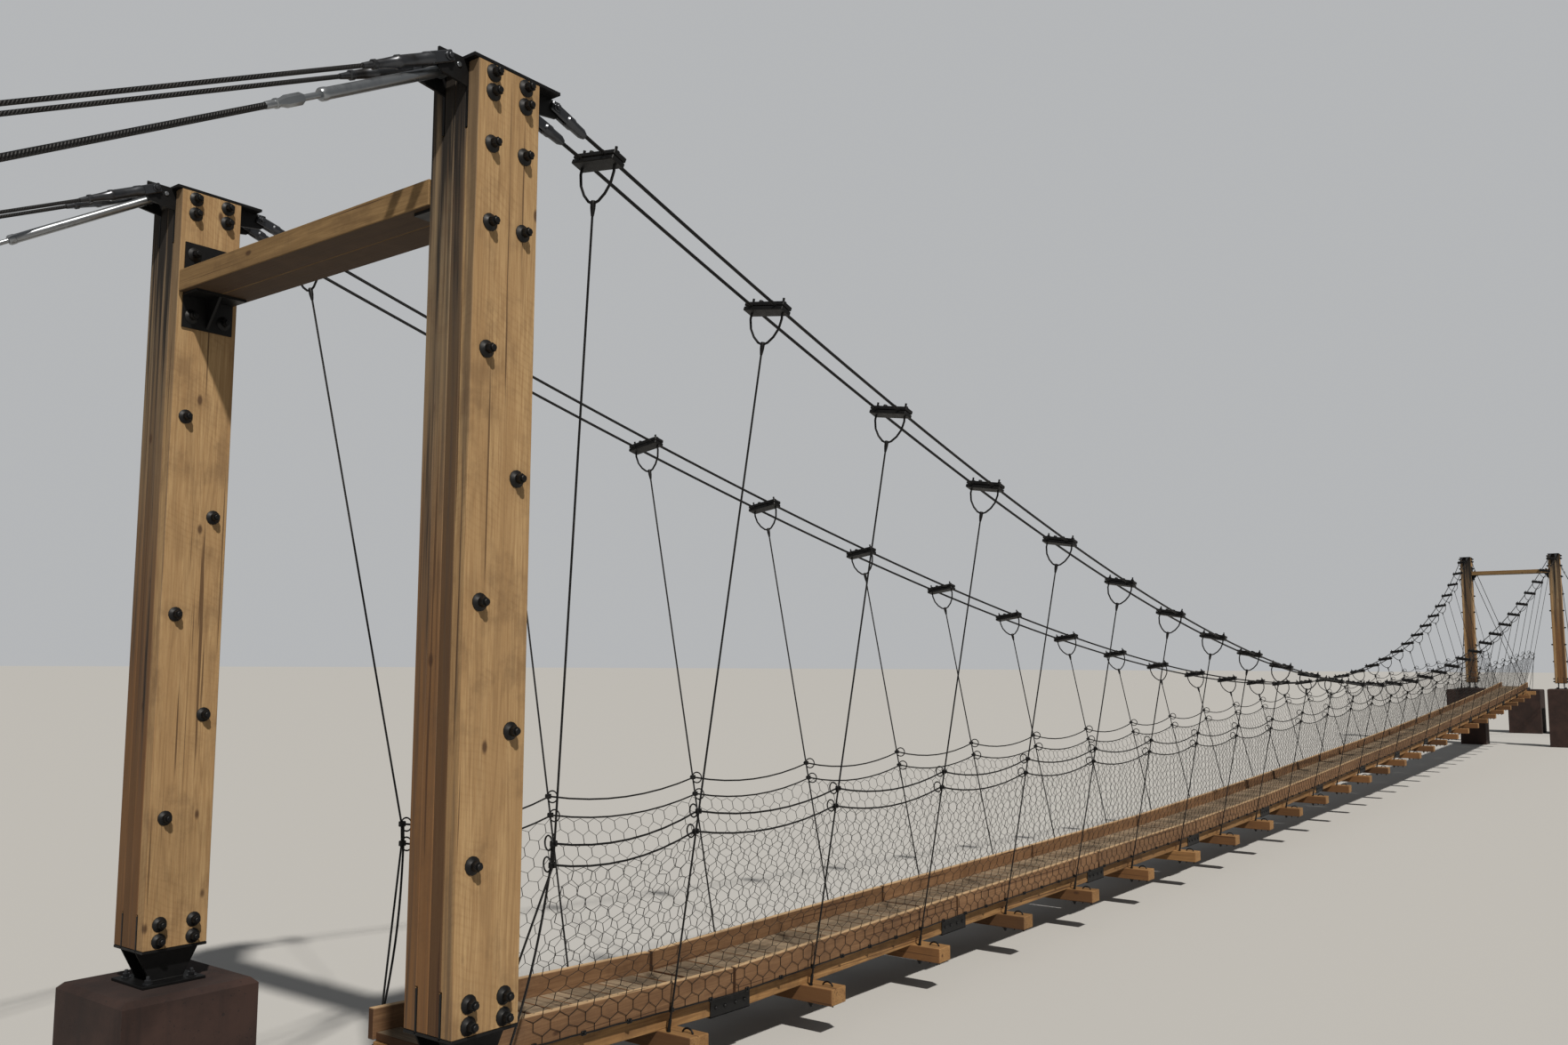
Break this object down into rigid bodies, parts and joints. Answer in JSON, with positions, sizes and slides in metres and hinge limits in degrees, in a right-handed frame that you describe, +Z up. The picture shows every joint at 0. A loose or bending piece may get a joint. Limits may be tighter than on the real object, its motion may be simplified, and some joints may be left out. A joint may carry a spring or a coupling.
{
  "type": "scale model (1:2) of a suspension footbridge",
  "caption": "Suspension footbridge on timber posts: main cables with clamped hangers carry a narrow plank deck with kerb boards, hand ropes and side netting; back stays to anchor blocks.",
  "frame": {"origin": "centre of the bounding box, on the level ground under the piers and the blocks of the stays", "axes": "+X along the bridge towards the higher bank, +Y across it to the left, +Z up"},
  "size_m": [26.834, 2.623, 2.5678],
  "materials": {
    "post_timber": "fresh light tan timber with weathered streaks",
    "frame_timber": "sawn tan brown timber",
    "deck_timber": "grey brown sawn planks",
    "concrete": "dark red brown concrete with soil stains",
    "black_steel": "black coated steel",
    "cable_steel": "dark wire rope, grey at its sockets",
    "netting": "dark wire netting"
  },
  "bodies": {
    "root": {"pier_near_left": "concrete", "post_shoe_near_left": "black_steel", "post_near_left": "post_timber", "post_cap_near_left": "black_steel", "beam_bracket_near_left": "black_steel", "stays_near_left": "cable_steel", "anchor_block_near_left": "concrete", "guy_block_near_left": "concrete", "pier_near_right": "concrete", "post_shoe_near_right": "black_steel", "post_near_right": "post_timber", "post_cap_near_right": "black_steel", "beam_bracket_near_right": "black_steel", "stays_near_right": "cable_steel", "anchor_block_near_right": "concrete", "guy_block_near_right": "concrete", "crossbeam_near": "post_timber", "pier_far_left": "concrete", "post_shoe_far_left": "black_steel", "post_far_left": "post_timber", "post_cap_far_left": "black_steel", "beam_bracket_far_left": "black_steel", "stays_far_left": "cable_steel", "anchor_block_far_left": "concrete", "guy_block_far_left": "concrete", "pier_far_right": "concrete", "post_shoe_far_right": "black_steel", "post_far_right": "post_timber", "post_cap_far_right": "black_steel", "beam_bracket_far_right": "black_steel", "stays_far_right": "cable_steel", "anchor_block_far_right": "concrete", "guy_block_far_right": "concrete", "crossbeam_far": "post_timber", "deck_planks_1": "deck_timber", "floor_frame_1": "frame_timber", "deck_planks_2": "deck_timber", "floor_frame_2": "frame_timber", "deck_planks_3": "deck_timber", "floor_frame_3": "frame_timber", "deck_planks_4": "deck_timber", "floor_frame_4": "frame_timber", "kerb_left": "frame_timber", "main_cables_left": "cable_steel", "hand_ropes_left": "cable_steel", "side_netting_left": "netting", "kerb_right": "frame_timber", "main_cables_right": "cable_steel", "hand_ropes_right": "cable_steel", "side_netting_right": "netting"}
  },
  "joints": []
}
